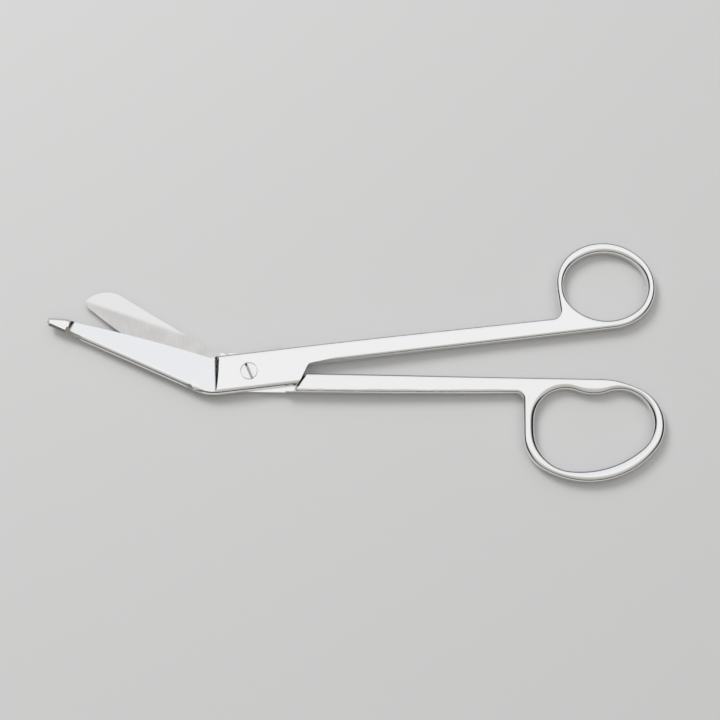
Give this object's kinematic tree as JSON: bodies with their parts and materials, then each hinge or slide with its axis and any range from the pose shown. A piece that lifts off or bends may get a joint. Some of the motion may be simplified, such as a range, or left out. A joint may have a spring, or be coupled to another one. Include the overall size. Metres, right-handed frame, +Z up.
{
  "type": "bandage scissors",
  "caption": "Angled bandage scissors with a probe-tipped lower blade, a blunt upper blade, a flush screw pivot and oval finger rings.",
  "frame": {"origin": "on the pivot axis, at the underside the scissors lie on", "axes": "+X from the pivot towards the finger rings, along the middle between the open shanks; +Z up from the table, along the pivot screw"},
  "size_m": [0.2025, 0.0802, 0.0049],
  "materials": {
    "probe_steel": "mirror polished",
    "blunt_steel": "mirror polished, sliding face satin ground",
    "screw_steel": "polished"
  },
  "bodies": {
    "blunt_body": {"blunt_half": "blunt_steel", "pivot_screw": "screw_steel"},
    "probe_body": {"probe_half": "probe_steel"}
  },
  "joints": [
    {"name": "blade_pivot", "type": "hinge", "parent": "blunt_body", "child": "probe_body", "pos_m": [0, 0, 0], "axis": [0, 0, 1], "range_deg": [-7.9, 82]}
  ]
}
